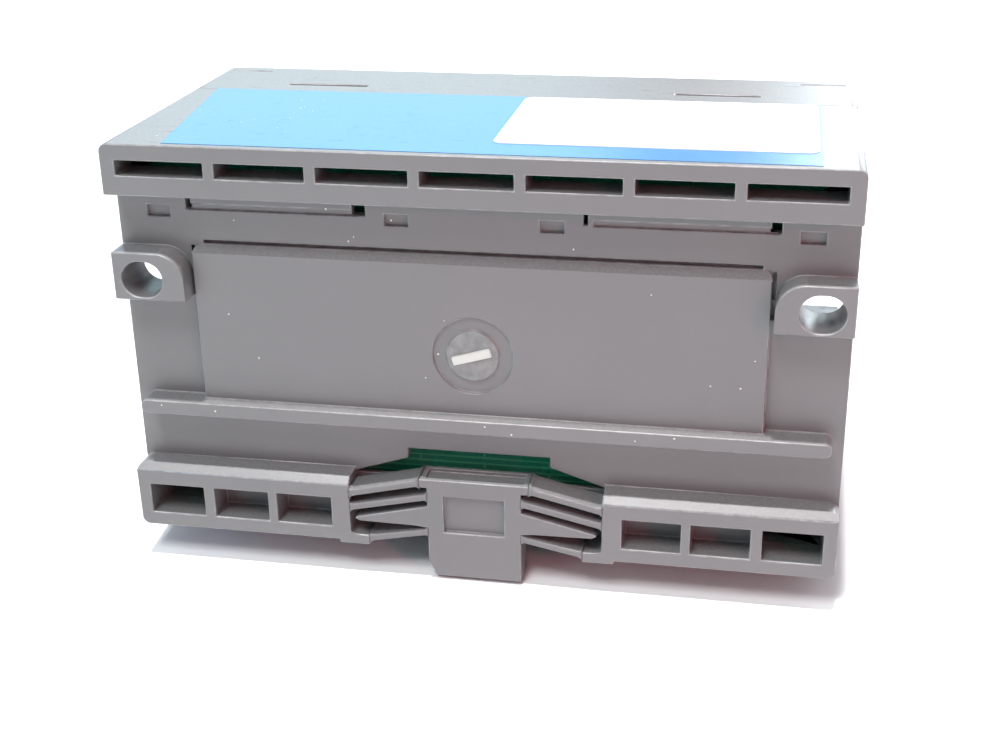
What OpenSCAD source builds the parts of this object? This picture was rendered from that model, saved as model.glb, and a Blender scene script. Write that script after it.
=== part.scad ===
// Compact rail-mounted remote I/O module. X runs along the rail, Z is up and the
// mounting plane behind the module is Y = 0; the module's front faces -Y.
// Heights below are measured from the casing's bottom edge. Every sub-part is then
// lowered by the height of the panel screws, so the origin lies between the two
// screw holes, on the mounting plane.

/* [Casing] */
// Length of the casing along the rail
body_w = 87.3; // [86:0.1:90]
// Height of the casing
body_h = 50; // [50:0.5:52]
// Depth from the mounting plane to the front
body_d = 44; // [43.5:0.5:48]
// Depth of the rear casing, up to the seam with the front cover
seam_d = 30; // [29.5:0.5:30.5]
// Wall thickness of both shells
wall = 1.6; // [1.4:0.1:1.8]
// Depth of the rail recess behind the mounting plane
seat_d = 3.5; // [3.2:0.1:3.6]
// Corner radius of the casing's outline
corner_r = 1; // [0.5:0.1:1.4]

/* [Rail recess] */
// Lowest height of the upper lip that hooks over the rail
lip_z = 43.8; // [43.5:0.1:44]
// Height of the two lower blocks beside the latch
row_h = 8.6; // [8.3:0.1:9]
// How far the middle pad stands out of the seat plane
pad_rise = 1.3; // [0.8:0.1:2]
// Half the width of the middle pad
pad_x = 34.3; // [33.5:0.1:34.5]

/* [Panel screws] */
// Distance between the two panel screw holes
screw_pitch = 80; // [79:0.5:80]
// Height of the screw line above the bottom edge
screw_z = 33.4; // [33:0.1:34]
// Radius of the slotted screw holes
screw_r = 2.25; // [2:0.05:2.4]
// End-to-end length of the slotted holes
screw_slot = 5.2; // [4.8:0.1:5.6]

/* [Latch] */
// Half the width of the latch body
latch_x = 5.85; // [5.4:0.05:6.1]
// How far the latch reaches below the casing
latch_drop = 4; // [3:0.5:5]
// Half the width of the latch bay between the two lower blocks
bay_x = 15.8; // [15.5:0.1:16]
// Thickness of the latch and its leaf springs
latch_t = 4; // [3.6:0.1:4.2]

/* [Terminals] */
// Distance between neighbouring terminals
pole_pitch = 7.62; // [7.5, 7.62]
// Number of fixed input and output terminals
io_poles = 10; // [6:1:10]
// Number of terminals on the removable block
plug_poles = 7; // [4:1:7]
// Radius of the terminal screw's head
head_r = 2.6; // [2.2:0.1:2.7]

/* [Switches and lamps] */
// Distance between neighbouring levers of the setting switch
lever_pitch = 1.27; // [1.27:0.01:1.35]
// Travel of a lever
lever_travel = 1; // [0.6:0.1:1.2]
// Number of status lamps
lamp_count = 12; // [4:1:12]
// Distance between neighbouring lamps
lamp_pitch = 4.2; // [4:0.1:4.4]

/* [Hidden] */
$fn = 48;
eps = 0.05;
half_w = body_w / 2;
seat_y = -seat_d;
inner_y = seat_y - wall;
seam_y = -seam_d;
front_y = -body_d;
inner_x = half_w - wall;
inner_z = [wall, body_h - wall];
plastic = [0.42, 0.41, 0.42];

// middle pad and the rib below it
pad_z = [17.4, 37.2];
pad_slope = 0.8;
rib_z = [15.6, 17.4];
rib_x = 42.2;
rib_y = -0.4;

// groove under the lip that takes the rail's edge
rail_groove_y = -1.7;
rail_groove_z = 44.25;

// latch bay
hook_z = 9.3;
hook_t = 1.15;
tray_floor_z = 8.8;
hook_x = 6.85;
notch_x = 8.9;
notch_z = [10.36, 11.7];
shoulder_z = 8.1;
bay_y = -latch_t - 0.3;
see_through_z = 7.6;
leaf_t = 0.93;
foot_x = 13.4;

// ears and the screwdriver channels in front of them
ear_x = 34.75;
ear_z = [30.8, 36.75];
ear_corner_r = 3.4;
channel_x = 35.9;
channel_z = [18.4, 37.9];
channel_y = -7;
jacket = 1.3;
pit_z = [[31.2, 33], [33.7, 37]];

// windows in the lip and in the lower blocks
lip_window = [10.8, 1.85];
lip_window_pitch = 12.15;
lip_window_z = 46.2;
row_window = [7.1, 4];
row_window_z = 1.8;
row_window_x = [21.75, 30, 38.5];
row_well = 0.6;
row_chamfer = 0.9;
foot = [3.9, 1.37];
foot_z = -0.45;
foot_fillet = 0.6;

// strip under the lip: gaps at the hook tongues' ends, tongue slots and dimples
strip_gap_x = [[12.9, 14.5], [34.4, 35], [-13.3, -12.8], [-35, -33.9]];
strip_gap_z = [41.5, 42.9];
tongue_slot_x = [14, 34.7];
tongue_slot_z = [41.4, 42.1];
dimple_x = [-38.5, -9.2, 9.2, 38.5];
dimple_z = [40.4, 41.8];

// moulding sprue in the middle pad
sprue = [0.15, 25.1];
sprue_ring_r = 4.85;
sprue_r = 3.2;

// snap hooks between the two shells
snap_x = 26;
snap_w = 10.9;
snap_y = -34.6;
snap_t = 1.2;

// round posts that carry the main board
post_at = [[-25, 14], [25, 14], [-38, 42], [38, 42], [0, 21]];
post_r = 2;

// front: terminal bays, lamp strip and switch opening
face_y = front_y + wall;
block_y = front_y + 1.2;
io_z = [3.2, 17];
io_half = io_poles * pole_pitch / 2 + 2.1;
io_rear_y = -30.6;
plug_z = [33.6, 46.8];
plug_mid = -3.4;
plug_half = plug_poles * pole_pitch / 2 + 4.1;
plug_rear_y = -33;
bay_gap = 0.25;
screen_x = 32;
screen_z = [19.6, 30.9];
screen_t = 0.8;
lamp_z = 25.2;
switch_x = [29.4, 41.4];
switch_z = [39.6, 46.6];
lever_count = 8;

// one terminal: pocket, contact plate, washer and screw
pocket = [6.3, 3.7, 9.4];
plate_t = 0.8;
washer_t = 0.8;
head_t = 1.9;
shank_r = 1.45;

// circuit boards, as their faces towards the front
board_t = 1.6;
main_board_y = -8.9;
front_board_y = -25.6;

// Places a sub-part so that the screw line is at height zero.
module seated() translate([0, 0, -screw_z]) children();

// Box between two opposite corners.
module box(a, b) translate(a) cube(b - a);

// Rectangle with round corners, between two opposite corners.
module round_outline(a, b, r) {
    translate([a[0] + r, a[1]]) square([b[0] - a[0] - 2 * r, b[1] - a[1]]);
    translate([a[0], a[1] + r]) square([b[0] - a[0], b[1] - a[1] - 2 * r]);
    for (x = [a[0] + r, b[0] - r], z = [a[1] + r, b[1] - r]) translate([x, z]) circle(r);
}

// Pulls an X-Z outline along Y, from y0 to y1.
module slab(y0, y1) translate([0, y1, 0]) rotate([90, 0, 0]) linear_extrude(y1 - y0) children();

// Pulls a Y-Z outline along X, from x0 to x1.
module along_x(x0, x1) translate([x0, 0, 0]) rotate([90, 0, 90]) linear_extrude(x1 - x0) children();

// A shape drawn on the +X side, and its mirror image.
module both_sides() {
    children();
    mirror([1, 0, 0]) children();
}

// Round bar or hole along Y between y0 and y1.
module rod(x, z, r, y0, y1) translate([x, y1, z]) rotate([90, 0, 0]) cylinder(r = r, h = y1 - y0);

// Places of the terminals, levers and lamps along X, numbered from 0.
function pole_x(i, n, mid) = mid + (i - (n - 1) / 2) * pole_pitch;
function lever_x(i) = (switch_x[0] + switch_x[1]) / 2 + (i - (lever_count - 1) / 2) * lever_pitch;
function lamp_x(i) = (i - (lamp_count - 1) / 2) * lamp_pitch;

// ---- rear casing ---------------------------------------------------------------
module casing_outline() round_outline([-half_w, 0], [half_w, body_h], corner_r);

// Upper lip, with a groove under it for the rail's edge.
module lip() difference() {
    slab(seat_y - eps, 0) intersection() {
        casing_outline();
        translate([-half_w, lip_z]) square([body_w, body_h]);
    }
    box([-half_w - 1, seat_y, lip_z - 1], [half_w + 1, rail_groove_y, rail_groove_z]);
}

module ear() slab(seat_y - eps, 0) intersection() {
    translate([ear_x, ear_z[0]]) square([half_w - ear_x, ear_z[1] - ear_z[0]]);
    union() {
        translate([ear_x, 0]) square([half_w - ear_x, ear_z[1] - ear_corner_r]);
        translate([ear_x + ear_corner_r, 0]) square([half_w, body_h]);
        translate([ear_x + ear_corner_r, ear_z[1] - ear_corner_r]) circle(ear_corner_r);
    }
}

module screw_hole() {
    offset_x = screw_slot / 2 - screw_r;
    for (s = [-1, 1]) rod(screw_pitch / 2 + s * offset_x, screw_z, screw_r, channel_y - 1, 1);
    box([screw_pitch / 2 - offset_x, channel_y - 1, screw_z - screw_r],
        [screw_pitch / 2 + offset_x, 1, screw_z + screw_r]);
}

// Screwdriver channel, open to the side and to the front; it ends at the ear's thick foot.
module channel(y0, y1) box([channel_x, y0, channel_z[0]], [half_w + 1, y1, channel_z[1]]);

module channel_jacket() box([channel_x - jacket, front_y - 1, channel_z[0] - jacket],
                            [half_w + 1, 1, channel_z[1] + jacket]);

// Middle pad, with a sloping upper edge.
module pad() difference() {
    slab(seat_y - eps, seat_y + pad_rise)
        round_outline([-pad_x, pad_z[0] - 1], [pad_x, pad_z[1]], 0.9);
    along_x(-half_w, half_w) polygon([
        [seat_y, pad_z[1]], [seat_y + pad_rise, pad_z[1] - pad_slope], [1, pad_z[1] - pad_slope],
        [1, pad_z[1] + 1], [seat_y, pad_z[1] + 1]
    ]);
}

// Block beside the latch, with a chamfered upper edge and a small foot.
module lower_block() difference() {
    slab(seat_y - eps, 0) {
        round_outline([bay_x, 0], [half_w, row_h], corner_r);
        translate([bay_x, 0]) square([3, row_h]);
        translate([foot_x, foot_z]) square(foot);
    }
    along_x(bay_x - 1, half_w + 1) polygon([
        [-row_chamfer, row_h], [0, row_h - row_chamfer], [1, row_h - row_chamfer], [1, row_h + 1],
        [-row_chamfer, row_h + 1]
    ]);
}

// Foot that carries the lowest leaf: it turns the end of a lower block into the latch bay.
module leaf_foot() slab(-latch_t, 0) {
    top_z = foot_z + foot[1];
    translate([foot_x, foot_z]) square([bay_x + eps - foot_x, foot[1]]);
    difference() {
        translate([bay_x - foot_fillet, top_z - eps]) square([foot_fillet + eps, foot_fillet + eps]);
        translate([bay_x - foot_fillet, top_z + foot_fillet]) circle(foot_fillet);
    }
}

// Windows of a lower block: shallow wells, and the outermost one open to the inside.
module row_windows() for (i = [0:2])
    box([row_window_x[i] - row_window[0] / 2, i == 2 ? inner_y - 1 : seat_y - row_well, row_window_z],
        [row_window_x[i] + row_window[0] / 2, 1, row_window_z + row_window[1]]);

module latch_bay_outline() polygon([
    [-bay_x, -1], [bay_x, -1], [bay_x, shoulder_z], [notch_x, notch_z[0]], [notch_x, notch_z[1]],
    [-notch_x, notch_z[1]], [-notch_x, notch_z[0]], [-bay_x, shoulder_z]
]);

// Cuts in the strip under the lip.
module strip_cuts() {
    for (s = strip_gap_x) box([s[0], inner_y - 1, strip_gap_z[0]], [s[1], 1, strip_gap_z[1]]);
    both_sides() box([tongue_slot_x[0], seat_y - 0.35, tongue_slot_z[0]],
                     [tongue_slot_x[1], 1, tongue_slot_z[1]]);
    for (x = dimple_x) box([x - 1.4, seat_y - 0.6, dimple_z[0]], [x + 1.4, 1, dimple_z[1]]);
}

// Round dimple in the pad, with the cut-off moulding sprue standing in it.
module sprue_dimple() difference() {
    rod(sprue[0], sprue[1], sprue_ring_r, seat_y + pad_rise - 0.4, 1);
    rod(sprue[0], sprue[1], sprue_r, seat_y, seat_y + pad_rise - 0.05);
}

// Tongues that reach into the front cover and snap into its slots.
module snap_tongues() for (x = [-snap_x, snap_x], up = [0, 1])
    translate([x, 0, up * body_h]) mirror([0, 0, up]) {
        box([-snap_w / 2 + 1, snap_y - 0.8, wall + 0.1], [snap_w / 2 - 1, seam_y + 1, wall + 0.1 + snap_t]);
        box([-snap_w / 2 + 1, snap_y + 0.15, 0.7], [snap_w / 2 - 1, snap_y + 0.85, wall + 0.5]);
        box([-snap_w / 2 + 1, seam_y + 0.2, wall - 0.5], [snap_w / 2 - 1, seam_y + 3, wall + 0.1 + snap_t]);
    }

module board_posts() for (p = post_at)
    rod(p[0], p[1], post_r, main_board_y + board_t, inner_y + eps);

module rear_casing() seated() color(plastic) {
    difference() {
        union() {
            slab(seam_y, seat_y) casing_outline();
            lip();
            both_sides() ear();
            pad();
            slab(seat_y - eps, rib_y) round_outline([-rib_x, rib_z[0]], [rib_x, rib_z[1]], 0.88);
            both_sides() lower_block();
        }
        difference() {
            box([-inner_x, seam_y - 1, inner_z[0]], [inner_x, inner_y, inner_z[1]]);
            both_sides() channel_jacket();
        }
        both_sides() {
            screw_hole();
            channel(seam_y - 1, channel_y);
            // two narrow pits between the ear and the pad, with a bridge between them
            for (z = pit_z) box([pad_x, seat_y - 1, z[0]], [ear_x, 1, z[1]]);
            row_windows();
        }
        for (i = [-3:3])
            box([i * lip_window_pitch - lip_window[0] / 2, inner_y - 1, lip_window_z],
                [i * lip_window_pitch + lip_window[0] / 2, 1, lip_window_z + lip_window[1]]);
        // crease above the pad
        box([-33.2, seat_y - 0.9, pad_z[1]], [33.2, 1, pad_z[1] + 0.45]);
        // latch bay, closed behind the latch and open to the board above it
        slab(bay_y, 1) latch_bay_outline();
        slab(inner_y - 1, 1) intersection() {
            latch_bay_outline();
            translate([-half_w, see_through_z]) square([body_w, body_h]);
        }
        strip_cuts();
        sprue_dimple();
    }
    both_sides() leaf_foot();
    snap_tongues();
    board_posts();
}

// ---- front cover ---------------------------------------------------------------
module front_cover() seated() color(plastic) difference() {
    slab(front_y, seam_y) casing_outline();
    difference() {
        box([-inner_x, face_y, inner_z[0]], [inner_x, 1, inner_z[1]]);
        both_sides() channel_jacket();
        // shelves above and below the lamp strip
        for (z = [17.5, 31.8]) box([-half_w, front_y, z], [half_w, seam_y - 3, z + 1.2]);
    }
    both_sides() channel(front_y - 1, 1);
    // bays of the two terminal blocks
    box([-io_half - bay_gap, front_y - 1, io_z[0] - bay_gap],
        [io_half + bay_gap, face_y + 1, io_z[1] + bay_gap]);
    box([plug_mid - plug_half - bay_gap, front_y - 1, plug_z[0] - bay_gap],
        [plug_mid + plug_half + bay_gap, face_y + 1, plug_z[1] + bay_gap]);
    // switch opening, sunk window seat and lamp holes
    box([switch_x[0], front_y - 1, switch_z[0]], [switch_x[1], face_y + 1, switch_z[1]]);
    box([-screen_x, front_y - 1, screen_z[0]], [screen_x, front_y + screen_t, screen_z[1]]);
    for (i = [0:lamp_count - 1]) rod(lamp_x(i), lamp_z, 1.1, front_y - 1, face_y + 1);
    // snap slots through the upper and lower walls
    for (x = [-snap_x, snap_x], z = [-1, body_h - wall - 0.5])
        box([x - snap_w / 2, snap_y, z], [x + snap_w / 2, snap_y + 1, z + wall + 1.5]);
    // thin slots near the front edge
    both_sides() box([36.4, -42, body_h - 0.8], [42.2, -41.5, body_h + 1]);
}

module display_window() seated() color([0.18, 0.2, 0.24])
    slab(front_y, front_y + screen_t)
        round_outline([-screen_x + 0.1, screen_z[0] + 0.1], [screen_x - 0.1, screen_z[1] - 0.1], 0.8);

module upper_legend_strip() seated() color([0.85, 0.85, 0.82])
    box([plug_mid - plug_half, front_y - 0.1, 31.2], [plug_mid + plug_half, front_y, 33.2]);

module lower_legend_strip() seated() color([0.85, 0.85, 0.82])
    box([-channel_x + 0.4, front_y - 0.1, 17.4], [channel_x - 0.4, front_y, 19.4]);

// ---- labels --------------------------------------------------------------------
label_t = 0.06;

module name_label() seated() color([0.05, 0.25, 0.6])
    translate([0, 0, body_h]) linear_extrude(label_t)
        polygon([[-38.9, seam_y + 0.1], [40, seam_y + 0.1], [36.2, -1], [-38.9, -1]]);

module serial_sticker() seated() color([0.93, 0.93, 0.92])
    translate([0, 0, body_h + label_t]) linear_extrude(0.1)
        round_outline([-38.6, -29.4], [-1.9, -5.9], 1.2);

// ---- latch and its leaf springs ------------------------------------------------
module latch_outline() {
    polygon([
        [-latch_x, hook_z - hook_t], [-latch_x, -latch_drop], [latch_x - 1.1, -latch_drop],
        [latch_x, -latch_drop + 1.8], [latch_x, hook_z - hook_t]
    ]);
    // tusks that keep the latch from tilting
    for (s = [-1, 1])
        polygon([
            [s * (latch_x - 1), 5.65], [s * latch_x, 5.6], [s * 14.9, 3.45], [s * 15.2, 3.2],
            [s * 14.6, 2.88], [s * 7.4, 2.78], [s * latch_x, 2.6], [s * (latch_x - 1), 2.6]
        ]);
}

module rail_latch() seated() color(plastic) difference() {
    union() {
        slab(-latch_t, 0) latch_outline();
        box([-hook_x, -latch_t, hook_z - hook_t], [hook_x, 0, hook_z]);
    }
    // tray in the hook's top and thumb pocket in the rear face
    box([-hook_x + 0.75, -latch_t + 0.6, tray_floor_z], [hook_x - 0.75, -0.75, hook_z + 1]);
    box([-3.8, -0.7, 2.1], [3.8, 1, 7.15]);
}

// One sloping leaf between two points, given for its lower edge.
module leaf(wall, latch)
    slab(-latch_t, 0) polygon([wall, latch, latch + [0, leaf_t], wall + [0, leaf_t]]);

module leaf_springs() {
    leaf([bay_x, 6.1], [hook_x, hook_z - hook_t + 0.1]);
    leaf([bay_x, 4.15], [latch_x, 6.4]);
    leaf([foot_x, 0], [latch_x, 1.55]);
}

module leaf_springs_right() seated() color(plastic) leaf_springs();

module leaf_springs_left() seated() color(plastic) mirror([1, 0, 0]) leaf_springs();

// ---- circuit boards and their parts ----------------------------------------------
module board(y0, half_x, z) difference() {
    box([-half_x, y0, z[0]], [half_x, y0 + board_t, z[1]]);
    both_sides() box([channel_x - jacket - 0.3, y0 - 1, channel_z[0] - jacket - 0.3],
                     [half_w, y0 + board_t + 1, channel_z[1] + jacket + 0.3]);
}

module main_board() seated() color([0.05, 0.35, 0.18]) board(main_board_y, 41.5, [2.2, 47.6]);

module front_board() seated() color([0.05, 0.35, 0.18]) board(front_board_y, 41, [3, 47]);

module board_header() seated() {
    color([0.08, 0.08, 0.08])
        for (y = [main_board_y - 4, front_board_y + board_t]) box([-12.7, y, 12], [12.7, y + 4, 17]);
    color([0.8, 0.7, 0.4]) for (i = [0:9], z = [13.2, 15.8])
        box([(i - 4.5) * 2.54 - 0.32, front_board_y + board_t + 4 - eps, z - 0.32],
            [(i - 4.5) * 2.54 + 0.32, main_board_y - 4 + eps, z + 0.32]);
}

// Chip body with a row of legs along two sides.
module chip(x, z, size, y_face, legs) {
    color([0.1, 0.1, 0.1]) box([x - size[0] / 2, y_face - size[1], z - size[2] / 2],
                               [x + size[0] / 2, y_face - 0.15, z + size[2] / 2]);
    color([0.75, 0.75, 0.75]) for (i = [0:legs - 1], s = [-1, 1]) {
        leg_x = x + (i - (legs - 1) / 2) * (size[0] - 1) / legs;
        box([leg_x - 0.2, y_face - 0.6, z + s * (size[2] / 2 + 0.35) - 0.4],
            [leg_x + 0.2, y_face, z + s * (size[2] / 2 + 0.35) + 0.4]);
    }
}

module controller_chip() seated() chip(-20, 28, [14, 1.6, 14], main_board_y, 12);

module interface_chips() seated() for (x = [-4, 9]) chip(x, 36, [9, 1.8, 5], main_board_y, 8);

module photocouplers() seated() for (i = [0:7])
    translate([0, front_board_y + board_t, 0]) mirror([0, 1, 0])
        chip((i - 3.5) * 7.4, 24, [4.8, 3.4, 5.6], 0, 2);

module capacitors() seated() for (x = [20, 29.5]) {
    color([0.1, 0.12, 0.2]) rod(x, 10.5, 4, main_board_y - 10.5, main_board_y);
    color([0.75, 0.75, 0.75]) rod(x, 10.5, 3.3, main_board_y - 10.7, main_board_y - 10.4);
}

module power_converter() seated() {
    color([0.12, 0.12, 0.12]) box([14, main_board_y - 9, 20], [32, main_board_y, 34]);
    color([0.75, 0.6, 0.2]) box([17, main_board_y - 9.6, 22], [29, main_board_y - 9 + eps, 32]);
}

module crystal() seated() color([0.75, 0.75, 0.75])
    slab(main_board_y - 3.2, main_board_y) {
        translate([-33, 10]) square([7.4, 4]);
        for (x = [-33, -25.6]) translate([x, 12]) circle(2);
    }

module passive_parts() seated() color([0.15, 0.14, 0.13]) for (i = [0:9], z = [39.5, 42.5])
    box([-26 + i * 5.6, main_board_y - 0.6, z], [-24 + i * 5.6, main_board_y, z + 1.25]);

module status_lamps() seated() color([0.9, 0.9, 0.7]) for (i = [0:lamp_count - 1])
    box([lamp_x(i) - 0.8, front_board_y - 0.8, lamp_z - 0.6],
        [lamp_x(i) + 0.8, front_board_y, lamp_z + 0.6]);

module light_guides() seated() color([0.9, 0.93, 0.95]) {
    for (i = [0:lamp_count - 1])
        rod(lamp_x(i), lamp_z, 1, front_y + screen_t + eps, front_board_y - 1.2);
    box([lamp_x(0), front_board_y - 5, lamp_z - 1.4],
        [lamp_x(lamp_count - 1), front_board_y - 3.4, lamp_z + 1.4]);
}

// ---- setting switch --------------------------------------------------------------
lever_slot = [0.8, 2.6];
lever_size = [0.7, 1.4];
lever_low_z = (switch_z[0] + switch_z[1]) / 2 - lever_slot[1] / 2 + 0.1;
switch_face_y = front_y + 1.4;

module switch_body() seated() color([0.75, 0.12, 0.1]) difference() {
    box([switch_x[0] + 0.3, switch_face_y, switch_z[0] + 0.3],
        [switch_x[1] - 0.3, front_board_y, switch_z[1] - 0.3]);
    for (i = [0:lever_count - 1])
        box([lever_x(i) - lever_slot[0] / 2, switch_face_y - 1, lever_low_z - 0.1],
            [lever_x(i) + lever_slot[0] / 2, switch_face_y + 1.6, lever_low_z - 0.1 + lever_slot[1]]);
}

// Lever n of the switch, at the lower end of its slot.
module lever(n) seated() color([0.93, 0.93, 0.9])
    box([lever_x(n - 1) - lever_size[0] / 2, switch_face_y - 0.6, lever_low_z],
        [lever_x(n - 1) + lever_size[0] / 2, switch_face_y + 1.5, lever_low_z + lever_size[1]]);

// ---- terminals -------------------------------------------------------------------
// Block with one open pocket and one screw hole for each pole.
module terminal_block(n, mid, half_x, z, rear_y) {
    pocket_z = (z[0] + z[1] - pocket[2]) / 2;
    difference() {
        box([mid - half_x, block_y, z[0]], [mid + half_x, rear_y, z[1]]);
        for (i = [0:n - 1]) {
            box([pole_x(i, n, mid) - pocket[0] / 2, block_y - 1, pocket_z],
                [pole_x(i, n, mid) + pocket[0] / 2, block_y + pocket[1], pocket_z + pocket[2]]);
            rod(pole_x(i, n, mid), (z[0] + z[1]) / 2, shank_r + 0.05, block_y, block_y + pocket[1] + 5);
        }
    }
}

module contacts(n, mid, z) for (i = [0:n - 1]) difference() {
    box([pole_x(i, n, mid) - 3, block_y + pocket[1] - plate_t, (z[0] + z[1]) / 2 - 4.5],
        [pole_x(i, n, mid) + 3, block_y + pocket[1], (z[0] + z[1]) / 2 + 4.5]);
    rod(pole_x(i, n, mid), (z[0] + z[1]) / 2, shank_r + 0.05, block_y, block_y + pocket[1] + 1);
}

module washers(n, mid, z) for (i = [0:n - 1]) difference() {
    box([pole_x(i, n, mid) - 2.8, block_y + pocket[1] - plate_t - washer_t, (z[0] + z[1]) / 2 - 2.8],
        [pole_x(i, n, mid) + 2.8, block_y + pocket[1] - plate_t, (z[0] + z[1]) / 2 + 2.8]);
    rod(pole_x(i, n, mid), (z[0] + z[1]) / 2, shank_r + 0.05, block_y, block_y + pocket[1] + 1);
}

// Pan-head screw with a cross recess, its head towards -Y.
module screw(x, z, head_y, head_radius, shank_radius, length) difference() {
    union() {
        rod(x, z, head_radius, head_y, head_y + head_t);
        rod(x, z, shank_radius, head_y + head_t - eps, head_y + head_t + length);
    }
    box([x - 1.7, head_y - 1, z - 0.35], [x + 1.7, head_y + 1.1, z + 0.35]);
    box([x - 0.35, head_y - 1, z - 1.7], [x + 0.35, head_y + 1.1, z + 1.7]);
}

module screws(n, mid, z) for (i = [0:n - 1])
    screw(pole_x(i, n, mid), (z[0] + z[1]) / 2, block_y + pocket[1] - plate_t - washer_t - head_t,
          head_r, shank_r, 6);

module io_block() seated() color([0.12, 0.12, 0.12]) {
    terminal_block(io_poles, 0, io_half, io_z, io_rear_y);
    box([-io_half + 2, io_rear_y - eps, io_z[0] + 2], [io_half - 2, front_board_y, io_z[1] - 4]);
}

module io_contacts() seated() color([0.8, 0.68, 0.35]) contacts(io_poles, 0, io_z);

module io_washers() seated() color([0.75, 0.75, 0.75]) washers(io_poles, 0, io_z);

module io_screws() seated() color([0.75, 0.75, 0.75]) screws(io_poles, 0, io_z);

// ---- removable terminal block ------------------------------------------------------
plug_screw_z = (plug_z[0] + plug_z[1]) / 2;
jack_x = [plug_mid - plug_half + 2.2, plug_mid + plug_half - 2.2];
jack_r = 1.2;

module plug_block() seated() color([0.12, 0.12, 0.12]) difference() {
    terminal_block(plug_poles, plug_mid, plug_half, plug_z, plug_rear_y);
    // sockets for the pins, and stepped holes for the two retaining screws
    for (i = [0:plug_poles - 1])
        box([pole_x(i, plug_poles, plug_mid) - 0.75, plug_rear_y - 3, plug_screw_z - 5.2],
            [pole_x(i, plug_poles, plug_mid) + 0.75, plug_rear_y + 1, plug_screw_z - 3.7]);
    for (x = jack_x) {
        rod(x, plug_screw_z, jack_r + 0.1, block_y - 1, plug_rear_y + 1);
        rod(x, plug_screw_z, 2.05, block_y - 1, block_y + 2.5);
    }
}

module plug_contacts() seated() color([0.8, 0.68, 0.35]) contacts(plug_poles, plug_mid, plug_z);

module plug_washers() seated() color([0.75, 0.75, 0.75]) washers(plug_poles, plug_mid, plug_z);

module plug_screws() seated() color([0.75, 0.75, 0.75]) screws(plug_poles, plug_mid, plug_z);

module plug_jack_screws() seated() color([0.75, 0.75, 0.75]) for (x = jack_x)
    screw(x, plug_screw_z, block_y + 0.55, 1.9, jack_r, plug_rear_y - block_y - 0.55 - head_t + 2.5);

module plug_socket() seated() color([0.12, 0.12, 0.12]) difference() {
    box([plug_mid - plug_half, plug_rear_y + 0.3, plug_z[0] + 0.4],
        [plug_mid + plug_half, front_board_y, plug_z[1] - 1.2]);
    for (x = jack_x) rod(x, plug_screw_z, 2.1, plug_rear_y - 1, front_board_y - 1);
    for (i = [0:plug_poles - 1])
        box([pole_x(i, plug_poles, plug_mid) - 0.5, plug_rear_y - 1, plug_screw_z - 4.95],
            [pole_x(i, plug_poles, plug_mid) + 0.5, front_board_y - 1, plug_screw_z - 3.95]);
}

module socket_pins() seated() color([0.8, 0.68, 0.35]) for (i = [0:plug_poles - 1])
    box([pole_x(i, plug_poles, plug_mid) - 0.5, plug_rear_y - 2.6, plug_screw_z - 4.95],
        [pole_x(i, plug_poles, plug_mid) + 0.5, front_board_y - 1, plug_screw_z - 3.95]);

module jack_nuts() seated() color([0.8, 0.68, 0.35]) for (x = jack_x) difference() {
    rod(x, plug_screw_z, 2.1, plug_rear_y + 0.3, front_board_y - 1);
    rod(x, plug_screw_z, jack_r + 0.1, plug_rear_y, front_board_y - 2);
}

rear_casing();
front_cover();
display_window();
name_label();
serial_sticker();
leaf_springs_left();
leaf_springs_right();
rail_latch();
main_board();
front_board();
board_header();
controller_chip();
interface_chips();
photocouplers();
capacitors();
power_converter();
crystal();
passive_parts();
status_lamps();
light_guides();
switch_body();
lever(1);  // lever_1
lever(2);  // lever_2
lever(3);  // lever_3
lever(4);  // lever_4
lever(5);  // lever_5
lever(6);  // lever_6
lever(7);  // lever_7
lever(8);  // lever_8
io_block();
io_contacts();
io_washers();
io_screws();
plug_socket();
socket_pins();
jack_nuts();
plug_block();
plug_contacts();
plug_washers();
plug_screws();
plug_jack_screws();
upper_legend_strip();
lower_legend_strip();
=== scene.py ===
import math
import random

import bmesh
import bpy
from mathutils import Matrix
from mathutils import Vector


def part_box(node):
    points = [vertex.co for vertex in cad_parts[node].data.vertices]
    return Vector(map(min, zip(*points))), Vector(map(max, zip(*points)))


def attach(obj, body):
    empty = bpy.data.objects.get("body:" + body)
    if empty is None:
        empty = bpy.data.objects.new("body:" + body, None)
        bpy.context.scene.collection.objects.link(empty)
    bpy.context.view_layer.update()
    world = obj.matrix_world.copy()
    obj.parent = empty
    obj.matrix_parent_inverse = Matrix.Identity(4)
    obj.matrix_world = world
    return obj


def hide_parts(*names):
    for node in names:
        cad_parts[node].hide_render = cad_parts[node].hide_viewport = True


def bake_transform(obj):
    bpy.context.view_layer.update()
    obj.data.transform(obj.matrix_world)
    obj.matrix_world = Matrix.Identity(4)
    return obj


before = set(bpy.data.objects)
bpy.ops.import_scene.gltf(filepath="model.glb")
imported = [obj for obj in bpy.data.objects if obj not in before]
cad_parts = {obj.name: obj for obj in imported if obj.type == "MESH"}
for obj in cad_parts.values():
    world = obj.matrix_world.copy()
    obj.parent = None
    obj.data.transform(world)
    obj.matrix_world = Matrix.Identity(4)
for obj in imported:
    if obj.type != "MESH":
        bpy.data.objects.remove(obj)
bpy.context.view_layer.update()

MM = 0.001

# ---- view, table and light -------------------------------------------------------
# The module is seen from behind, a little from above and from its latch side. It
# leans on the latch and on the lower front edge, so the table meets it at a slant.
camera_data = bpy.data.cameras.new("camera")
camera_data.lens = 53.32
camera_data.sensor_width = 36.0
camera_data.clip_start = 0.005
camera = bpy.data.objects.new("camera", camera_data)
camera.location = (-0.03399, 0.15669, 0.05890)
camera.rotation_euler = [math.radians(angle) for angle in (66.798, 0.800, -169.354)]
bpy.context.collection.objects.link(camera)
bpy.context.scene.camera = camera
bpy.context.scene.view_settings.view_transform = "Standard"


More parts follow.
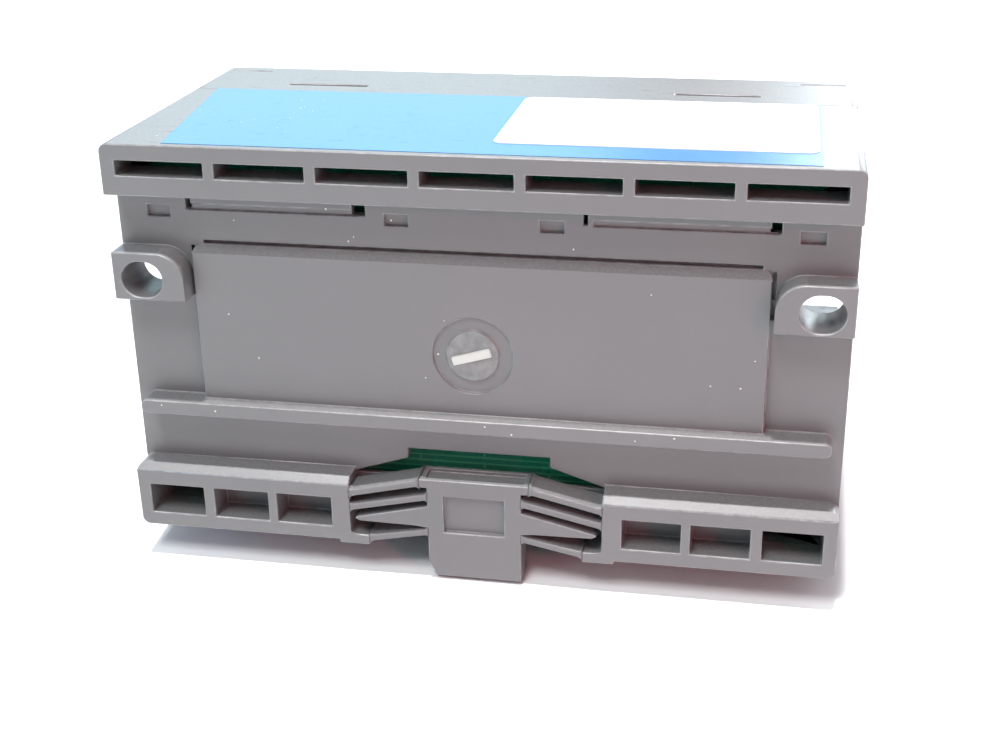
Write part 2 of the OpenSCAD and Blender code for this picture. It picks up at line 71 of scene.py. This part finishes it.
def add_node(tree, kind, **settings):
    """A shader node with its properties set."""
    made = tree.nodes.new(kind)
    for key, value in settings.items():
        setattr(made, key, value)
    return made


def new_material(name):
    """A material, its node tree and its main shader."""
    material = bpy.data.materials.new(name)
    material.use_nodes = True
    return material, material.node_tree, material.node_tree.nodes["Principled BSDF"]


latch_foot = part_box("rail_latch")[0]
front_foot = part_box("front_cover")[0]
slope = (front_foot[2] - latch_foot[2]) / (latch_foot[1] - front_foot[1])
bm = bmesh.new()
bmesh.ops.create_grid(bm, x_segments=8, y_segments=8, size=2.0)
bmesh.ops.rotate(bm, verts=bm.verts, cent=(0, 0, 0), matrix=Matrix.Rotation(-math.atan(slope), 3, "X"))
bmesh.ops.translate(bm, verts=bm.verts, vec=(0, latch_foot[1], latch_foot[2] - 0.0001))
table_mesh = bpy.data.meshes.new("table_top")
bm.to_mesh(table_mesh)
bm.free()
table_paint, _, paint = new_material("table_paint")
paint.inputs["Base Color"].default_value = (0.80, 0.80, 0.81, 1)
paint.inputs["Roughness"].default_value = 0.6
table_mesh.materials.append(table_paint)
table_top = bpy.data.objects.new("table_top", table_mesh)
bpy.context.collection.objects.link(table_top)

sky = bpy.data.worlds.new("studio")
sky.use_nodes = True
sky.node_tree.nodes["Background"].inputs["Color"].default_value = (1.0, 1.0, 1.0, 1)
seen_directly = add_node(sky.node_tree, "ShaderNodeLightPath").outputs["Is Camera Ray"]
sky_level = add_node(sky.node_tree, "ShaderNodeMapRange")
sky_level.inputs["To Min"].default_value = 0.34
sky_level.inputs["To Max"].default_value = 1.0
sky.node_tree.links.new(seen_directly, sky_level.inputs["Value"])
sky.node_tree.links.new(sky_level.outputs["Result"], sky.node_tree.nodes["Background"].inputs["Strength"])
bpy.context.scene.world = sky


def area_light(name, place, target, size, watts, colour):
    """A square soft box at a place, turned to a target."""
    data = bpy.data.lights.new(name, "AREA")
    data.size = size
    data.energy = watts
    data.color = colour
    made = bpy.data.objects.new(name, data)
    made.location = place
    aim = Vector(target) - Vector(place)
    made.rotation_euler = aim.to_track_quat("-Z", "Y").to_euler()
    bpy.context.collection.objects.link(made)


def distant_light(name, heading, watts, softness, colour):
    """A light from far away, travelling along a heading."""
    data = bpy.data.lights.new(name, "SUN")
    data.energy = watts
    data.angle = math.radians(softness)
    data.color = colour
    made = bpy.data.objects.new(name, data)
    made.rotation_euler = Vector(heading).to_track_quat("-Z", "Y").to_euler()
    bpy.context.collection.objects.link(made)


distant_light("ceiling_lamp", (-0.04, -0.07, -1.0), 4.2, 2.5, (1.0, 0.99, 0.98))
distant_light("room_window", (-0.12, -0.55, -0.83), 1.2, 14.0, (1.0, 0.99, 1.0))
area_light("far_window", (-0.30, -0.95, 0.32), (-0.02, -0.02, 0.01), 0.5, 6.0, (0.80, 0.93, 1.0))
area_light("far_left_window", (0.32, -0.95, 0.42), (0.02, -0.02, 0.01), 0.5, 1.7, (0.58, 0.88, 1.0))
area_light("side_window", (0.95, -0.30, 0.12), (0.03, -0.02, 0), 0.5, 5.0, (0.30, 0.60, 1.0))
area_light("rear_left_box", (0.50, 0.45, 0.20), (0.03, 0, 0), 0.3, 0.5, (0.55, 0.90, 1.0))
area_light("rear_top_box", (0.16, 0.34, 0.80), (0, 0, 0), 0.15, 2.5, (0.92, 1.0, 1.0))
glow = bpy.data.lights.new("warm_corner", "SPOT")
glow.energy = 11.0
glow.color = (1.0, 0.16, 0.22)
glow.spot_size = math.radians(8.5)
glow.spot_blend = 1.0
glow.shadow_soft_size = 0.05
warm_corner = bpy.data.objects.new("warm_corner", glow)
warm_corner.location = (-0.50, 0.42, 0.20)
warm_aim = Vector((-0.048, 0, 0)) - warm_corner.location
warm_corner.rotation_euler = warm_aim.to_track_quat("-Z", "Y").to_euler()
bpy.context.collection.objects.link(warm_corner)

# ---- rear casing -----------------------------------------------------------------
# One deep tray of grey, lightly grained plastic, injection moulded with its lip,
# ears, pad and lower blocks. Every outer edge has the small round of the mould.


def shader_group(name, inputs, outputs):
    """A node group with its own inputs and outputs, and the two nodes that hold them."""
    tree = bpy.data.node_groups.new(name, "ShaderNodeTree")
    for label, value in inputs:
        socket = tree.interface.new_socket(label, in_out="INPUT", socket_type="NodeSocketFloat")
        socket.default_value = value
    for label in outputs:
        tree.interface.new_socket(label, in_out="OUTPUT", socket_type="NodeSocketFloat")
    return tree, add_node(tree, "NodeGroupInput"), add_node(tree, "NodeGroupOutput")


def mapped(tree, source, low, high, to_low=0.0, to_high=1.0):
    """A value stretched from one range to another."""
    made = add_node(tree, "ShaderNodeMapRange")
    made.inputs["From Min"].default_value = low
    made.inputs["From Max"].default_value = high
    made.inputs["To Min"].default_value = to_low
    made.inputs["To Max"].default_value = to_high
    tree.links.new(source, made.inputs["Value"])
    return made.outputs["Result"]


def own_place(tree):
    """Coordinates in the object's own space."""
    return add_node(tree, "ShaderNodeTexCoord").outputs["Object"]


def noise(tree, scale, detail, place):
    """Noise in the object's own space; the scale is in cells per metre."""
    made = add_node(tree, "ShaderNodeTexNoise")
    made.inputs["Detail"].default_value = detail
    tree.links.new(place, made.inputs["Vector"])
    if isinstance(scale, (int, float)):
        made.inputs["Scale"].default_value = scale
    else:
        tree.links.new(scale, made.inputs["Scale"])
    return made.outputs["Fac"]


def summed(tree, first, second, share):
    """First value plus a share of the second."""
    made = add_node(tree, "ShaderNodeMath", operation="MULTIPLY_ADD")
    made.inputs[1].default_value = share
    tree.links.new(second, made.inputs[0])
    tree.links.new(first, made.inputs[2])
    return made.outputs[0]


def product(tree, first, second):
    """Two values multiplied."""
    made = add_node(tree, "ShaderNodeMath", operation="MULTIPLY")
    tree.links.new(first, made.inputs[0])
    tree.links.new(second, made.inputs[1])
    return made.outputs[0]


def bumped(tree, shader, height, distance, strength=1.0):
    """A height in the skin, felt by the shader as relief of a given depth."""
    bump = add_node(tree, "ShaderNodeBump")
    bump.inputs["Strength"].default_value = strength
    bump.inputs["Distance"].default_value = distance
    tree.links.new(height, bump.inputs["Height"])
    tree.links.new(bump.outputs["Normal"], shader.inputs["Normal"])


# Grain: the spark-eroded skin of the mould. Flow: slow changes of tone. Scuff: fine marks.
moulded_skin, skin_in, skin_out = shader_group("moulded_skin", [("Grain Scale", 4500.0)],
                                               ["Grain", "Flow", "Scuff"])
skin_place = own_place(moulded_skin)
coarse_grain = noise(moulded_skin, skin_in.outputs["Grain Scale"], 3.0, skin_place)
fine_grain = noise(moulded_skin, 14000.0, 2.0, skin_place)
moulded_skin.links.new(summed(moulded_skin, coarse_grain, fine_grain, 0.5), skin_out.inputs["Grain"])
flow = mapped(moulded_skin, noise(moulded_skin, 45.0, 4.0, skin_place), 0.3, 0.7)
moulded_skin.links.new(flow, skin_out.inputs["Flow"])
streaks = add_node(moulded_skin, "ShaderNodeMapping")
streaks.inputs["Scale"].default_value = (0.3, 1.0, 3.0)
moulded_skin.links.new(skin_place, streaks.inputs["Vector"])
scuff = mapped(moulded_skin, noise(moulded_skin, 1100.0, 6.0, streaks.outputs["Vector"]), 0.62, 0.74)
moulded_skin.links.new(scuff, skin_out.inputs["Scuff"])

# Painted highlight and wear: lighter plastic along the rounded edges, broken up by noise, standing in partly
# for light caught by the rounds and partly for worn plastic.
edge_highlight_and_wear, highlight_wear_in, highlight_wear_out = shader_group("edge_highlight_and_wear", [("Amount", 0.7)], ["Rub"])
on_edge = add_node(edge_highlight_and_wear, "ShaderNodeAttribute", attribute_name="highlight_and_wear_edge").outputs["Fac"]
broken = mapped(edge_highlight_and_wear, noise(edge_highlight_and_wear, 700.0, 4.0, own_place(edge_highlight_and_wear)), 0.35, 0.65)
edge_highlight_wear_mask = product(edge_highlight_and_wear, on_edge, broken)
edge_highlight_and_wear.links.new(product(edge_highlight_and_wear, edge_highlight_wear_mask, highlight_wear_in.outputs["Amount"]), highlight_wear_out.inputs["Rub"])

# Dust: a thin broken layer on faces that look up.
settled_dust, dust_in, dust_out = shader_group("settled_dust", [("Amount", 0.3)], ["Dust"])
dust_place = add_node(settled_dust, "ShaderNodeTexCoord")
upward = add_node(settled_dust, "ShaderNodeSeparateXYZ")
settled_dust.links.new(dust_place.outputs["Normal"], upward.inputs["Vector"])
facing_up = mapped(settled_dust, upward.outputs["Z"], 0.4, 1.0)
patches = mapped(settled_dust, noise(settled_dust, 2600.0, 6.0, dust_place.outputs["Object"]), 0.36, 0.80)
dust_mask = product(settled_dust, facing_up, patches)
settled_dust.links.new(product(settled_dust, dust_mask, dust_in.outputs["Amount"]), dust_out.inputs["Dust"])


def tinted(tree, base, colour, mask):
    """A colour laid over another where the mask is high; base may be a colour or a socket."""
    made = add_node(tree, "ShaderNodeMix", data_type="RGBA")
    if isinstance(base, tuple):
        made.inputs[6].default_value = base
    else:
        tree.links.new(base, made.inputs[6])
    made.inputs[7].default_value = colour
    tree.links.new(mask, made.inputs[0])
    return made.outputs[2]


def moulded_plastic(name, colour, flow_colour, highlight_wear_colour, rough, grain_scale, grain_depth, dust):
    """Injection-moulded plastic: grained skin, flow tone, edges lightened by painted highlight and wear,
    scuffs and dust.
    """
    material, tree, shader = new_material(name)
    skin = add_node(tree, "ShaderNodeGroup", node_tree=moulded_skin)
    skin.inputs["Grain Scale"].default_value = grain_scale
    edges = add_node(tree, "ShaderNodeGroup", node_tree=edge_highlight_and_wear)
    layer = add_node(tree, "ShaderNodeGroup", node_tree=settled_dust)
    layer.inputs["Amount"].default_value = dust
    tone = tinted(tree, colour, flow_colour, skin.outputs["Flow"])
    # painted highlight and wear: the rounded edges are lightened
    tone = tinted(tree, tone, highlight_wear_colour, edges.outputs["Rub"])
    tone = tinted(tree, tone, (0.62, 0.60, 0.57, 1), layer.outputs["Dust"])
    tree.links.new(tone, shader.inputs["Base Color"])
    tree.links.new(mapped(tree, skin.outputs["Scuff"], 0, 1, rough, rough + 0.16), shader.inputs["Roughness"])
    bumped(tree, shader, skin.outputs["Grain"], grain_depth, 0.5)
    return material


casing_plastic = moulded_plastic("casing_plastic", (0.162, 0.160, 0.165, 1), (0.176, 0.173, 0.178, 1),
                                 (0.28, 0.28, 0.29, 1), 0.36, 4500.0, 0.00002, 0.14)


def add_piece(name, bm, material, body=None):
    """A finished mesh as a piece of the object. It rides on a body when one is given."""
    mesh = bpy.data.meshes.new(name)
    bm.to_mesh(mesh)
    bm.free()
    mesh.materials.append(material)
    made = bpy.data.objects.new(name, mesh)
    bpy.context.collection.objects.link(made)
    if body:
        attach(made, body)
    return made


def shade_curves(bm, rounds):
    """Smooth shading on rounded edges and on the facets of curves; flat walls stay flat."""
    for face in bm.faces:
        face.smooth = any(edge.is_manifold and 0.03 < edge.calc_face_angle() < 0.35 for edge in face.edges)
    for face in rounds:
        face.smooth = True
    for face in bm.faces:
        if face.smooth and face.calc_area() > 12 * MM * MM:
            face.smooth = False


def rounded_copy(node, name, width, material, body):
    """A CAD node's shape with its triangles joined into flat faces and its edges rounded."""
    bm = bmesh.new()
    bm.from_mesh(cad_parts[node].data)
    bmesh.ops.remove_doubles(bm, verts=bm.verts, dist=2e-6)
    bmesh.ops.dissolve_limit(bm, angle_limit=math.radians(1.0), verts=bm.verts, edges=bm.edges,
                             use_dissolve_boundaries=False)
    # corners too close together to be rounded: pits beside the ears, leaf feet, block ends
    crowded = [(33.2, 35.3, -3.0, 4.2), (14.9, 16.2, -32.7, -31.6), (42.3, 44.0, -26.2, -24.5)]
    tight = {vert for vert in bm.verts
             if any(x0 < abs(vert.co.x / MM) < x1 and z0 < vert.co.z / MM < z1 for x0, x1, z0, z1 in crowded)}
    sharp = [edge for edge in bm.edges if edge.is_manifold and edge.calc_face_angle() > math.radians(28)
             and not tight.issuperset(edge.verts)]
    # the bevel faces are marked for the painted highlight and wear along the edges
    highlight_and_wear_edge = bm.faces.layers.float.new("highlight_and_wear_edge")
    rims = bmesh.ops.bevel(bm, geom=sharp, offset=width, offset_type="OFFSET", affect="EDGES", segments=2,
                           profile=0.5, material=-1, clamp_overlap=False)
    for face in rims["faces"]:
        face[highlight_and_wear_edge] = 1.0
    shade_curves(bm, rims["faces"])
    made = add_piece(name, bm, material, body)
    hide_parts(node)
    return made


rounded_copy("rear_casing", "rear_shell", 0.15 * MM, casing_plastic, "casing")

# ---- sprue stub ------------------------------------------------------------------
# The gate where the plastic entered the mould. It was cut off by hand with nippers,
# which left a pale, torn face with a ridge across it.
ORIGIN_UP = 33.4  # mm from the module's lower edge up to the frame's origin
SPRUE_R = 3.1 * MM
RIDGE_TURN = 0.62  # radians, low ridge on the cut face
NIP_TURN = 0.29  # radians, raised bar across it
NIP_SIZE = (4.9 * MM, 1.15 * MM, 0.52 * MM)
sprue_at = Vector((0.15 * MM, -2.25 * MM, (25.1 - ORIGIN_UP) * MM))
sprue_skin, tree, cut_plastic = new_material("sprue_skin")
torn = noise(tree, 900.0, 4.0, own_place(tree))
torn_mask = mapped(tree, torn, 0.35, 0.65)
nipped = add_node(tree, "ShaderNodeAttribute", attribute_name="nipped").outputs["Fac"]
cut_tone = tinted(tree, (0.185, 0.190, 0.192, 1), (0.245, 0.250, 0.250, 1), torn_mask)
tree.links.new(tinted(tree, cut_tone, (0.56, 0.57, 0.54, 1), nipped), cut_plastic.inputs["Base Color"])
cut_plastic.inputs["Roughness"].default_value = 0.6
bumped(tree, cut_plastic, torn, 0.00008)

bm = bmesh.new()
bmesh.ops.create_circle(bm, cap_ends=True, radius=SPRUE_R, segments=48)
for step in range(9):
    face = max(bm.faces, key=lambda item: len(item.verts))
    bmesh.ops.inset_region(bm, faces=[face], thickness=0.3 * MM, use_even_offset=True)
bmesh.ops.poke(bm, faces=[max(bm.faces, key=lambda item: len(item.verts))])
skirt = bmesh.ops.extrude_edge_only(bm, edges=[edge for edge in bm.edges if edge.is_boundary])
bmesh.ops.translate(bm, verts=[item for item in skirt["geom"] if isinstance(item, bmesh.types.BMVert)],
                    vec=(0, 0, -0.4 * MM))
rough_cut = random.Random(5)
for vert in bm.verts:
    if vert.co.z > -0.1 * MM:
        ridge = abs(vert.co.x * math.sin(RIDGE_TURN) - vert.co.y * math.cos(RIDGE_TURN))
        along = vert.co.x * math.cos(RIDGE_TURN) + vert.co.y * math.sin(RIDGE_TURN)
        height = 0.20 * MM * max(0.0, 1 - ridge / (1.1 * MM)) * (1 if abs(along) < 2.3 * MM else 0.3)
        vert.co.z += height + rough_cut.uniform(-0.02, 0.02) * MM
bmesh.ops.edgeloop_fill(bm, edges=[edge for edge in bm.edges if edge.is_boundary])
nipped_layer = bm.faces.layers.float.new("nipped")
nip_place = Matrix.Rotation(NIP_TURN, 4, "Z") @ Matrix.Translation((0.1 * MM, 0, 0.14 * MM))
nip = bmesh.ops.create_cube(bm, size=1.0, matrix=nip_place @ Matrix.Diagonal((*NIP_SIZE, 1)))["verts"]
for face in {face for vert in nip for face in vert.link_faces}:
    face[nipped_layer] = 1.0
bmesh.ops.bevel(bm, geom=list({edge for vert in nip for edge in vert.link_edges}), offset=0.2 * MM,
                affect="EDGES", segments=2, profile=0.5, material=-1)
bmesh.ops.rotate(bm, verts=bm.verts, cent=(0, 0, 0), matrix=Matrix.Rotation(math.radians(-90), 3, "X"))
bmesh.ops.translate(bm, verts=bm.verts, vec=sprue_at + Vector((0, 0.02 * MM, 0)))
bmesh.ops.recalc_face_normals(bm, faces=bm.faces)
add_piece("sprue_stub", bm, sprue_skin, "casing")

# ---- rail latch ------------------------------------------------------------------
# The tongue that holds the lower edge of the rail, with a thumb pocket for pulling
# it down. It is the same moulding as the casing, thinner and more handled.
latch_plastic = moulded_plastic("latch_plastic", (0.150, 0.148, 0.154, 1), (0.164, 0.161, 0.167, 1),
                                (0.28, 0.28, 0.29, 1), 0.38, 4500.0, 0.00002, 0.14)
rounded_copy("rail_latch", "latch_moulding", 0.13 * MM, latch_plastic, "latch")

# ---- leaf springs ----------------------------------------------------------------
# Six thin leaves of the same plastic, three a side, each with a fillet at its roots.
# They bend when the latch is pulled down, and push it back.
LEAF_DEEP = 4.0 * MM
LEAF_THICK = 0.93 * MM
LEAVES = [((15.95, 6.1), (6.75, 8.25)), ((15.95, 4.15), (5.75, 6.42)), ((13.5, 0.0), (5.75, 1.57))]


def leaf_bar(wall, latch, side):
    """One leaf: a flat bar from wall to latch, thicker at both roots."""
    bar = bmesh.new()
    bmesh.ops.create_cube(bar, size=1.0)
    long_edges = [edge for edge in bar.edges if abs(edge.verts[0].co.x - edge.verts[1].co.x) > 0.5]
    bmesh.ops.bevel(bar, geom=long_edges, offset=0.12, affect="EDGES", segments=2, profile=0.5, material=-1)
    long_edges = [edge for edge in bar.edges if abs(edge.verts[0].co.x - edge.verts[1].co.x) > 0.5]
    bmesh.ops.subdivide_edges(bar, edges=long_edges, cuts=22, use_grid_fill=True)
    length = (wall[0] - latch[0]) * MM
    for vert in bar.verts:
        along = vert.co.x + 0.5
        root = min(along, 1 - along) * length
        flare = 0.45 * MM * max(0.0, 1 - root / (0.6 * MM)) ** 2
        thick = LEAF_THICK + 2 * flare
        low = (wall[1] + (latch[1] - wall[1]) * (1 - along) - ORIGIN_UP) * MM
        vert.co = (side * (latch[0] * MM + along * length), -LEAF_DEEP / 2 + vert.co.y * LEAF_DEEP * 0.995,
                   low + LEAF_THICK / 2 + vert.co.z * thick)
    bmesh.ops.recalc_face_normals(bar, faces=bar.faces)
    return bar


def merged(parts):
    """Several meshes as one."""
    whole = bmesh.new()
    carrier = bpy.data.meshes.new("carrier")
    for part in parts:
        part.to_mesh(carrier)
        part.free()
        whole.from_mesh(carrier)
    bpy.data.meshes.remove(carrier)
    return whole


for side, label in ((1, "right"), (-1, "left")):
    leaves = merged([leaf_bar(wall, latch, side) for wall, latch in LEAVES])
    for face in leaves.faces:
        face.smooth = True
    springs = add_piece("leaves_" + label, leaves, latch_plastic)
    springs.modifiers.new("even_shading", "WEIGHTED_NORMAL")
    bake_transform(springs)
    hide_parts("leaf_springs_" + label)

# ---- circuit boards --------------------------------------------------------------
# Two boards of glass laminate under green solder mask. The copper tracks show through
# the mask as paler lines, and solder joints stand on the rear side.


def board_mask(name):
    """Green solder mask with tracks and a slight gloss."""
    material, tree, shader = new_material(name)
    place = own_place(tree)
    tracks = add_node(tree, "ShaderNodeTexBrick")
    tracks.inputs["Scale"].default_value = 260.0
    tracks.inputs["Brick Width"].default_value = 4.3
    tracks.inputs["Row Height"].default_value = 0.21
    tracks.inputs["Mortar Size"].default_value = 0.04
    tracks.inputs["Color1"].default_value = (0, 0, 0, 1)
    tracks.inputs["Color2"].default_value = (0, 0, 0, 1)
    tracks.inputs["Mortar"].default_value = (1, 1, 1, 1)
    turned = add_node(tree, "ShaderNodeMapping")
    turned.inputs["Rotation"].default_value = (math.radians(90), 0, 0)
    tree.links.new(place, turned.inputs["Vector"])
    tree.links.new(turned.outputs["Vector"], tracks.inputs["Vector"])
    cloth = noise(tree, 1800.0, 3.0, place)
    # the green is paler than the bare mask: painted light standing in for the reflections and light that
    # reach the boards inside the casing
    mask_green_with_painted_light = tinted(tree, (0.022, 0.27, 0.16, 1), (0.030, 0.35, 0.21, 1), mapped(tree, cloth, 0.3, 0.7))
    tree.links.new(tinted(tree, mask_green_with_painted_light, (0.07, 0.50, 0.28, 1), tracks.outputs["Color"]),
                   shader.inputs["Base Color"])
    shader.inputs["Roughness"].default_value = 0.3
    bumped(tree, shader, tracks.outputs["Color"], 0.00003)
    return material


solder_mask = board_mask("solder_mask")


def finish_node(node, material):
    """A CAD node that is shown as it is, in a worked material."""
    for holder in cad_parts[node].material_slots:
        holder.material = material


finish_node("main_board", solder_mask)
finish_node("front_board", solder_mask)


def metal(name, colour, tarnish, rough, turned_scale):
    """Plated metal with faint drawing marks and dull patches."""
    material, tree, shader = new_material(name)
    shader.inputs["Metallic"].default_value = 1.0
    place = own_place(tree)
    patches = mapped(tree, noise(tree, 500.0, 5.0, place), 0.4, 0.68)
    tree.links.new(tinted(tree, colour, tarnish, patches), shader.inputs["Base Color"])
    marks = noise(tree, turned_scale, 4.0, place)
    tree.links.new(mapped(tree, marks, 0.3, 0.7, rough, rough + 0.15), shader.inputs["Roughness"])
    bumped(tree, shader, marks, 0.00002, 0.3)
    return material


solder = metal("solder", (0.72, 0.73, 0.74, 1), (0.45, 0.45, 0.46, 1), 0.22, 2500.0)
SOLDER_ROWS = [(-33, -18, 3.2, 6.4), (-9, 10, 2.3, 5.9), (18, 33, 3.9, 6.8), (-34, 34, 5.1, 44.6)]
rear_of_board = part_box("main_board")[1][1]
joints = bmesh.new()
for first, last, pitch, height in SOLDER_ROWS:
    for step in range(int((last - first) / pitch) + 1):
        spot = Vector(((first + step * pitch) * MM, rear_of_board, (height - ORIGIN_UP) * MM))
        fillet = Matrix.Translation(spot) @ Matrix.Rotation(math.radians(-90), 4, "X")
        bmesh.ops.create_cone(joints, cap_ends=True, segments=14, radius1=0.85 * MM, radius2=0.28 * MM,
                              depth=0.9 * MM, matrix=fillet)
for face in joints.faces:
    face.smooth = True
add_piece("solder_joints", joints, solder, "casing")

# ---- parts on the boards ---------------------------------------------------------
# Black epoxy chips, sleeved capacitors, a small converter, a crystal in a drawn can
# and the pin header that joins the two boards.
chip_epoxy = moulded_plastic("chip_epoxy", (0.020, 0.020, 0.022, 1), (0.030, 0.030, 0.032, 1),
                             (0.09, 0.09, 0.09, 1), 0.45, 9000.0, 0.00001, 0.1)
header_plastic = moulded_plastic("header_plastic", (0.015, 0.015, 0.016, 1), (0.022, 0.022, 0.023, 1),
                                 (0.07, 0.07, 0.07, 1), 0.4, 6000.0, 0.00001, 0.1)
can_metal = metal("can_metal", (0.74, 0.74, 0.76, 1), (0.55, 0.55, 0.56, 1), 0.25, 1800.0)
for node in ("controller_chip", "interface_chips", "photocouplers", "power_converter", "passive_parts"):
    finish_node(node, chip_epoxy)
finish_node("board_header", header_plastic)
finish_node("capacitors", can_metal)
finish_node("crystal", can_metal)

# ---- lamps and light guides ------------------------------------------------------
# Small lamps on the front board, and a comb of clear plastic rods that brings their
# light to the window.
lamp_lens = moulded_plastic("lamp_lens", (0.62, 0.62, 0.45, 1), (0.70, 0.70, 0.55, 1),
                            (0.80, 0.80, 0.70, 1), 0.25, 9000.0, 0.000005, 0.0)
guide_clear, tree, clear = new_material("guide_clear")
clear.inputs["Transmission Weight"].default_value = 0.85
clear.inputs["IOR"].default_value = 1.49
guide_haze = noise(tree, 600.0, 3.0, own_place(tree))
tree.links.new(mapped(tree, guide_haze, 0.3, 0.7, 0.08, 0.2), clear.inputs["Roughness"])
tree.links.new(tinted(tree, (0.84, 0.90, 0.92, 1), (0.90, 0.94, 0.95, 1), guide_haze),
               clear.inputs["Base Color"])
finish_node("status_lamps", lamp_lens)
finish_node("light_guides", guide_clear)

# ---- setting switch --------------------------------------------------------------
# A red block with eight slots, and a white lever in each that slides up and down.
switch_red = moulded_plastic("switch_red", (0.36, 0.018, 0.014, 1), (0.42, 0.025, 0.018, 1),
                             (0.60, 0.12, 0.10, 1), 0.3, 6000.0, 0.00001, 0.15)
lever_white = moulded_plastic("lever_white", (0.74, 0.73, 0.69, 1), (0.80, 0.79, 0.75, 1),
                              (0.88, 0.87, 0.84, 1), 0.3, 6000.0, 0.00001, 0.1)
rounded_copy("switch_body", "switch_moulding", 0.12 * MM, switch_red, "casing")
for number in range(1, 9):
    rounded_copy("lever_%d" % number, "lever_cap_%d" % number, 0.1 * MM, lever_white, "lever_%d" % number)

# ---- terminal blocks -------------------------------------------------------------
# A fixed block and a removable one in black glass-filled plastic, with a pocket for
# each terminal. The plates and washers are tinned brass and zinc-plated steel.
terminal_plastic = moulded_plastic("terminal_plastic", (0.024, 0.024, 0.026, 1),
                                   (0.034, 0.034, 0.036, 1), (0.12, 0.12, 0.12, 1), 0.4, 3800.0,
                                   0.00002, 0.2)
zinc = metal("zinc", (0.62, 0.62, 0.60, 1), (0.42, 0.42, 0.39, 1), 0.40, 2200.0)
tinned_brass = metal("tinned_brass", (0.66, 0.58, 0.38, 1), (0.52, 0.43, 0.26, 1), 0.44, 2200.0)
rounded_copy("io_block", "io_moulding", 0.18 * MM, terminal_plastic, "casing")
rounded_copy("plug_block", "plug_moulding", 0.18 * MM, terminal_plastic, "plug")
finish_node("plug_socket", terminal_plastic)
for node in ("io_contacts", "plug_contacts", "socket_pins", "jack_nuts"):
    finish_node(node, tinned_brass)
for node in ("io_washers", "plug_washers"):
    finish_node(node, zinc)
rounded_copy("io_screws", "io_screw_set", 0.22 * MM, zinc, "casing")
rounded_copy("plug_screws", "plug_screw_set", 0.22 * MM, zinc, "plug")
rounded_copy("plug_jack_screws", "plug_jack_set", 0.07 * MM, zinc, "plug")

# ---- front cover -----------------------------------------------------------------
# The other half of the housing, in the same grey plastic. Its smoked window covers the
# lamps, and pale blank legend strips lie beside the terminals.
rounded_copy("front_cover", "front_shell", 0.15 * MM, casing_plastic, "casing")
smoked = moulded_plastic("smoked_window", (0.012, 0.014, 0.018, 1), (0.016, 0.018, 0.023, 1),
                         (0.10, 0.10, 0.11, 1), 0.08, 9000.0, 0.000002, 0.1)
rounded_copy("display_window", "lamp_window", 0.15 * MM, smoked, "casing")
legend_film = moulded_plastic("legend_film", (0.68, 0.68, 0.64, 1), (0.72, 0.72, 0.68, 1),
                              (0.75, 0.75, 0.72, 1), 0.4, 5000.0, 0.000005, 0.1)
finish_node("upper_legend_strip", legend_film)
finish_node("lower_legend_strip", legend_film)

# ---- labels on top ---------------------------------------------------------------
# A blue printed film that covers most of the top, with a white sticker on one half.
# Both are glossy enough to mirror the light behind the module.
label_blue = moulded_plastic("label_blue", (0.042, 0.185, 0.43, 1), (0.048, 0.198, 0.45, 1),
                             (0.35, 0.50, 0.70, 1), 0.30, 3000.0, 0.000006, 0.05)
sticker_white = moulded_plastic("sticker_white", (0.82, 0.82, 0.83, 1), (0.84, 0.84, 0.85, 1),
                                (0.85, 0.85, 0.85, 1), 0.35, 3000.0, 0.000006, 0.05)
finish_node("name_label", label_blue)
finish_node("serial_sticker", sticker_white)

# ---- specks ----------------------------------------------------------------------
# Flecks of dust and moulding crumbs lie on the label and cling to the rear face. They
# are thin and pale, each a different size.
speck_skin, tree, speck = new_material("speck_skin")
speck_tone = mapped(tree, noise(tree, 2500.0, 3.0, own_place(tree)), 0.3, 0.6)
tree.links.new(tinted(tree, (0.50, 0.46, 0.40, 1), (0.80, 0.79, 0.76, 1), speck_tone),
               speck.inputs["Base Color"])
speck.inputs["Roughness"].default_value = 0.8
scatter = random.Random(11)
specks = bmesh.new()
for count, x_range, y_range, z_range, flat in (
        (16, (22, 38), (-26, -4), (50.07, 50.07), "Z"),
        (9, (-34, 33), (-2.19, -2.19), (19, 36), "Y"),
        (6, (-34, 36), (-3.49, -3.49), (38.2, 43.2), "Y"),
        (6, (-40, 40), (-0.39, -0.39), (15.9, 17.2), "Y")):
    for step in range(count):
        spot = [scatter.uniform(*span) * MM for span in (x_range, y_range, z_range)]
        spot[2] -= ORIGIN_UP * MM
        shape = [scatter.uniform(0.06, 0.15) * MM for axis in range(3)]
        shape["XYZ".index(flat)] = 0.03 * MM
        bmesh.ops.create_icosphere(specks, subdivisions=1, radius=1.0,
                                   matrix=Matrix.Translation(spot) @ Matrix.Diagonal(shape).to_4x4())
add_piece("specks", specks, speck_skin, "casing")
